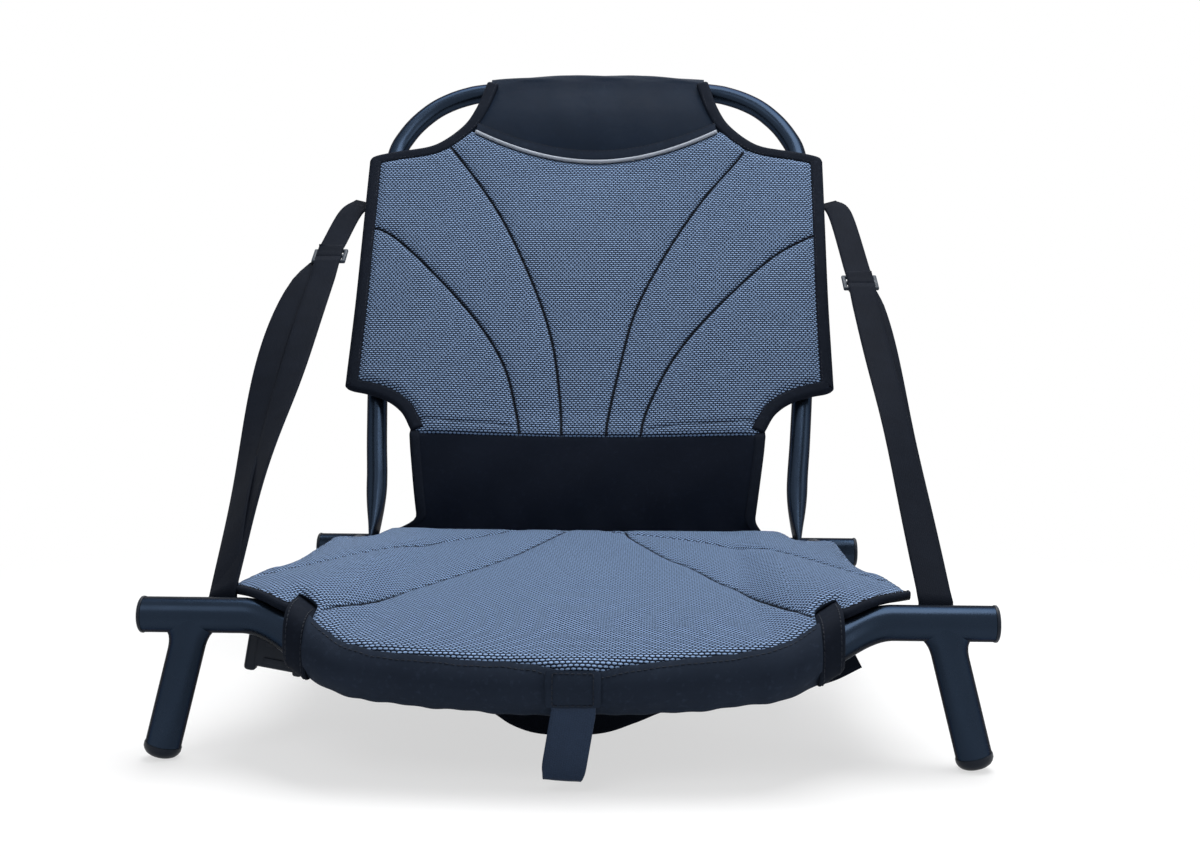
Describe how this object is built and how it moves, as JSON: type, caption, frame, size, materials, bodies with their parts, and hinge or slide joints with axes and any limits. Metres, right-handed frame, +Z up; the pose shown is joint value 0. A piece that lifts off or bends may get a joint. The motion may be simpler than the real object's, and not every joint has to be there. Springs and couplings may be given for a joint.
{
  "type": "kayak seat",
  "caption": "Low frame seat for a small boat: bent tube base on splayed legs, folding tube backrest and a padded mesh sling held by webbing side straps.",
  "frame": {"origin": "on the ground, midway between the two sides and midway between the front and back of the whole seat", "axes": "+Z up, the sitter faces -Y, +X to the right as seen from the front"},
  "size_m": [0.6054, 0.6704, 0.5777],
  "materials": {
    "tube": "smooth dark navy-grey coating on aluminium tube, satin",
    "plug": "black moulded plastic",
    "steel": "dark stainless fasteners",
    "mesh": "two-tone woven mesh, pale dashes on black",
    "black_cloth": "black woven cloth",
    "satin": "smooth black cloth with a dull sheen",
    "tape": "black binding tape",
    "pipe": "light grey piping",
    "web": "black woven webbing",
    "buckle": "dark moulded plastic"
  },
  "bodies": {
    "base": {"front_crossbar": "tube", "rear_crossbar": "tube", "side_rail_left": "tube", "side_rail_right": "tube", "front_leg_left": "tube", "front_leg_right": "tube", "rear_leg_left": "tube", "rear_leg_right": "tube", "front_bar_plug_left": "plug", "front_bar_plug_right": "plug", "rear_bar_plug_left": "plug", "rear_bar_plug_right": "plug", "front_foot_left": "plug", "front_foot_right": "plug", "rear_foot_left": "plug", "rear_foot_right": "plug", "hinge_washer_left": "plug", "hinge_washer_right": "plug", "hinge_bolt_left": "steel", "hinge_bolt_right": "steel", "hinge_nut_left": "steel", "hinge_nut_right": "steel", "strap_screw_left": "steel", "strap_screw_right": "steel", "seat_panel": "mesh", "lumbar_strip": "satin", "seat_front_hem": "black_cloth", "rail_sleeve_left": "black_cloth", "rail_sleeve_right": "black_cloth", "hem_band_left": "tape", "hem_band_right": "tape", "lobe_binding_left": "tape", "lobe_binding_right": "tape", "lower_strap_left": "web", "lower_strap_right": "web", "pull_loop": "web", "tension_strap": "web", "tension_buckle": "buckle"},
    "backrest": {"backrest_hoop": "tube", "backrest_panel": "mesh", "top_sleeve": "satin", "piping": "pipe", "backrest_binding_left": "tape", "backrest_binding_right": "tape", "side_sleeve_left": "black_cloth", "side_sleeve_right": "black_cloth", "upper_strap_left": "web", "upper_strap_right": "web", "tri_glide_left": "buckle", "tri_glide_right": "buckle"}
  },
  "joints": [
    {"name": "backrest_fold", "type": "hinge", "parent": "base", "child": "backrest", "pos_m": [0, 0.02941, 0.1034], "axis": [1, 0, 0], "range_deg": [0, 68], "deforming": ["lumbar_strip", "lower_strap_left", "lower_strap_right"]}
  ]
}
